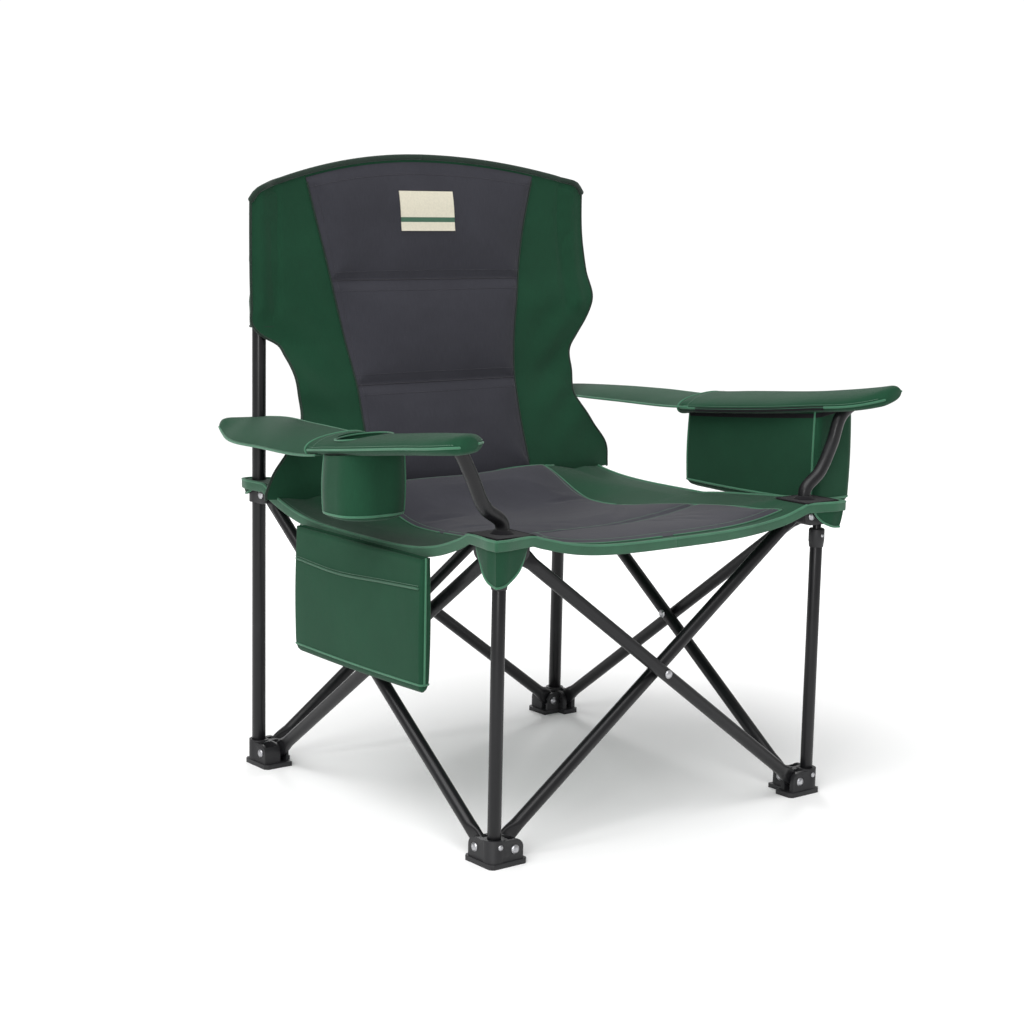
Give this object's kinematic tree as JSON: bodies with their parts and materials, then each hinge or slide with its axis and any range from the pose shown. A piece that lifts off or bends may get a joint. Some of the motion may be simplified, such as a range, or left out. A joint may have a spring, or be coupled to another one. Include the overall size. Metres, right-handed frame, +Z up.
{
  "type": "folding camp chair",
  "caption": "Folding camp chair on a black steel scissor frame, with a padded fabric seat and back, soft armrests, a cup holder, a cooler bag and a hanging magazine pocket.",
  "frame": {"origin": "on the floor, midway between the four legs", "axes": "+Z up; the chair faces -Y; -X is its left side seen from the front"},
  "size_m": [0.8099, 0.7, 0.943],
  "materials": {
    "frame_metal": "semi-gloss powder coat",
    "black_plastic": "fine textured moulding",
    "rivet_metal": "plain zinc",
    "green_fabric": "plain woven polyester",
    "grey_fabric": "padded woven polyester"
  },
  "bodies": {
    "rear_left_stand": {"foot_rear_left": "black_plastic", "rivet_foot_rear_left_deep": "rivet_metal", "rivet_foot_rear_left_thin": "rivet_metal", "post_rear_left": "frame_metal", "back_left": "grey_fabric"},
    "left_inner_tube": {"tube_left_inner": "frame_metal", "rivet_cross_left": "rivet_metal"},
    "left_outer_tube": {"tube_left_outer": "frame_metal"},
    "front_left_stand": {"foot_front_left": "black_plastic", "rivet_foot_front_left_deep": "rivet_metal", "rivet_foot_front_left_thin": "rivet_metal", "leg_front_left": "frame_metal", "collar_front_left": "black_plastic"},
    "front_left_hub": {"hub_front_left": "black_plastic", "rivet_hub_front_left_deep": "rivet_metal", "rivet_hub_front_left_thin": "rivet_metal", "rod_front_left": "frame_metal", "arm_tube_left": "frame_metal", "armrest_front_left": "green_fabric", "cup_holder": "green_fabric", "magazine_pocket": "green_fabric"},
    "rear_left_slider": {"slider_rear_left": "black_plastic", "rivet_slider_rear_left_deep": "rivet_metal", "rivet_slider_rear_left_thin": "rivet_metal"},
    "rear_outer_tube": {"tube_rear_outer": "frame_metal", "rivet_cross_rear": "rivet_metal"},
    "rear_inner_tube": {"tube_rear_inner": "frame_metal"},
    "rear_right_stand": {"foot_rear_right": "black_plastic", "rivet_foot_rear_right_deep": "rivet_metal", "rivet_foot_rear_right_thin": "rivet_metal", "post_rear_right": "frame_metal", "back_right": "grey_fabric"},
    "rear_right_slider": {"slider_rear_right": "black_plastic", "rivet_slider_rear_right_deep": "rivet_metal", "rivet_slider_rear_right_thin": "rivet_metal"},
    "front_inner_tube": {"tube_front_inner": "frame_metal", "rivet_cross_front": "rivet_metal"},
    "front_outer_tube": {"tube_front_outer": "frame_metal"},
    "front_right_stand": {"foot_front_right": "black_plastic", "rivet_foot_front_right_deep": "rivet_metal", "rivet_foot_front_right_thin": "rivet_metal", "leg_front_right": "frame_metal", "collar_front_right": "black_plastic"},
    "front_right_hub": {"hub_front_right": "black_plastic", "rivet_hub_front_right_deep": "rivet_metal", "rivet_hub_front_right_thin": "rivet_metal", "rod_front_right": "frame_metal", "arm_tube_right": "frame_metal", "armrest_front_right": "green_fabric", "cooler_bag": "green_fabric"},
    "right_outer_tube": {"tube_right_outer": "frame_metal", "rivet_cross_right": "rivet_metal"},
    "right_inner_tube": {"tube_right_inner": "frame_metal"},
    "seat_front_left_panel": {"seat_front_left": "grey_fabric"},
    "seat_front_right_panel": {"seat_front_right": "grey_fabric"},
    "seat_rear_left_panel": {"seat_rear_left": "grey_fabric"},
    "seat_rear_right_panel": {"seat_rear_right": "grey_fabric"},
    "armrest_left_rear_panel": {"armrest_rear_left": "green_fabric"},
    "armrest_right_rear_panel": {"armrest_rear_right": "green_fabric"}
  },
  "joints": [
    {"name": "fold", "type": "hinge", "parent": "rear_left_stand", "child": "left_inner_tube", "pos_m": [-0.28, 0.274, 0.022], "axis": [-1, 0, 0], "range_deg": [0, 46.8], "deforming": ["seat_front_left", "seat_front_right", "seat_rear_left", "seat_rear_right", "back_left", "back_right", "armrest_front_left", "armrest_front_right", "armrest_rear_left", "armrest_rear_right", "cup_holder", "cooler_bag", "magazine_pocket"]},
    {"name": "left_cross", "type": "hinge", "parent": "left_inner_tube", "child": "left_outer_tube", "pos_m": [-0.29, 0, 0.225], "axis": [1, 0, 0], "range_deg": [0, 93.8]},
    {"name": "front_left_foot", "type": "hinge", "parent": "left_outer_tube", "child": "front_left_stand", "pos_m": [-0.3, -0.274, 0.022], "axis": [-1, 0, 0], "range_deg": [0, 47]},
    {"name": "front_left_top", "type": "hinge", "parent": "left_inner_tube", "child": "front_left_hub", "pos_m": [-0.28, -0.274, 0.428], "axis": [1, 0, 0], "range_deg": [0, 47]},
    {"name": "rear_left_top", "type": "hinge", "parent": "left_outer_tube", "child": "rear_left_slider", "pos_m": [-0.3, 0.274, 0.428], "axis": [-1, 0, 0], "range_deg": [0, 47]},
    {"name": "rear_outer_foot", "type": "hinge", "parent": "rear_left_stand", "child": "rear_outer_tube", "pos_m": [-0.274, 0.3, 0.022], "axis": [0, -1, 0], "range_deg": [0, 47]},
    {"name": "rear_cross", "type": "hinge", "parent": "rear_outer_tube", "child": "rear_inner_tube", "pos_m": [0, 0.29, 0.225], "axis": [0, 1, 0], "range_deg": [0, 93.8]},
    {"name": "rear_right_foot", "type": "hinge", "parent": "rear_inner_tube", "child": "rear_right_stand", "pos_m": [0.274, 0.28, 0.022], "axis": [0, -1, 0], "range_deg": [0, 47]},
    {"name": "rear_right_top", "type": "hinge", "parent": "rear_outer_tube", "child": "rear_right_slider", "pos_m": [0.274, 0.3, 0.428], "axis": [0, 1, 0], "range_deg": [0, 47]},
    {"name": "front_inner_foot", "type": "hinge", "parent": "front_left_stand", "child": "front_inner_tube", "pos_m": [-0.274, -0.28, 0.022], "axis": [0, -1, 0], "range_deg": [0, 47]},
    {"name": "front_cross", "type": "hinge", "parent": "front_inner_tube", "child": "front_outer_tube", "pos_m": [0, -0.29, 0.225], "axis": [0, 1, 0], "range_deg": [0, 93.8]},
    {"name": "front_right_foot", "type": "hinge", "parent": "front_outer_tube", "child": "front_right_stand", "pos_m": [0.274, -0.3, 0.022], "axis": [0, -1, 0], "range_deg": [0, 47]},
    {"name": "front_right_top", "type": "hinge", "parent": "front_inner_tube", "child": "front_right_hub", "pos_m": [0.274, -0.28, 0.428], "axis": [0, 1, 0], "range_deg": [0, 47]},
    {"name": "right_outer_foot", "type": "hinge", "parent": "rear_right_stand", "child": "right_outer_tube", "pos_m": [0.3, 0.274, 0.022], "axis": [-1, 0, 0], "range_deg": [0, 47]},
    {"name": "right_cross", "type": "hinge", "parent": "right_outer_tube", "child": "right_inner_tube", "pos_m": [0.29, 0, 0.225], "axis": [1, 0, 0], "range_deg": [0, 93.8]},
    {"name": "seat_front_left_fold", "type": "hinge", "parent": "front_left_hub", "child": "seat_front_left_panel", "pos_m": [-0.3, -0.3, 0.45], "axis": [-0.7071, 0.7071, 0], "range_deg": [0, 77.57]},
    {"name": "seat_front_right_fold", "type": "hinge", "parent": "front_right_hub", "child": "seat_front_right_panel", "pos_m": [0.3, -0.3, 0.45], "axis": [-0.7071, -0.7071, 0], "range_deg": [0, 77.57]},
    {"name": "seat_rear_right_fold", "type": "hinge", "parent": "rear_right_slider", "child": "seat_rear_right_panel", "pos_m": [0.3, 0.3, 0.45], "axis": [0.7071, -0.7071, 0], "range_deg": [0, 77.57]},
    {"name": "seat_rear_left_fold", "type": "hinge", "parent": "rear_left_slider", "child": "seat_rear_left_panel", "pos_m": [-0.3, 0.3, 0.45], "axis": [0.7071, 0.7071, 0], "range_deg": [0, 77.57]},
    {"name": "armrest_left_lift", "type": "hinge", "parent": "rear_left_stand", "child": "armrest_left_rear_panel", "pos_m": [-0.3, 0.3, 0.553], "axis": [-1, 0, 0], "range_deg": [0, 85.38]},
    {"name": "armrest_right_lift", "type": "hinge", "parent": "rear_right_stand", "child": "armrest_right_rear_panel", "pos_m": [0.3, 0.3, 0.562], "axis": [-1, 0, 0], "range_deg": [0, 85.38]}
  ],
  "couplings": [
    {"joint": "left_cross", "follows": "fold", "ratio": 2},
    {"joint": "front_left_foot", "follows": "fold", "ratio": 1},
    {"joint": "front_left_top", "follows": "fold", "ratio": 1},
    {"joint": "rear_left_top", "follows": "fold", "ratio": 1},
    {"joint": "rear_outer_foot", "follows": "fold", "ratio": 1},
    {"joint": "rear_cross", "follows": "fold", "ratio": 2},
    {"joint": "rear_right_foot", "follows": "fold", "ratio": 1},
    {"joint": "rear_right_top", "follows": "fold", "ratio": 1},
    {"joint": "front_inner_foot", "follows": "fold", "ratio": 1},
    {"joint": "front_cross", "follows": "fold", "ratio": 2},
    {"joint": "front_right_foot", "follows": "fold", "ratio": 1},
    {"joint": "front_right_top", "follows": "fold", "ratio": 1},
    {"joint": "right_outer_foot", "follows": "fold", "ratio": 1},
    {"joint": "right_cross", "follows": "fold", "ratio": 2},
    {"joint": "seat_front_left_fold", "follows": "fold", "ratio": 1.6532},
    {"joint": "seat_front_right_fold", "follows": "fold", "ratio": 1.6532},
    {"joint": "seat_rear_right_fold", "follows": "fold", "ratio": 1.6532},
    {"joint": "seat_rear_left_fold", "follows": "fold", "ratio": 1.6532},
    {"joint": "armrest_left_lift", "follows": "fold", "ratio": 1.82},
    {"joint": "armrest_right_lift", "follows": "fold", "ratio": 1.82}
  ]
}
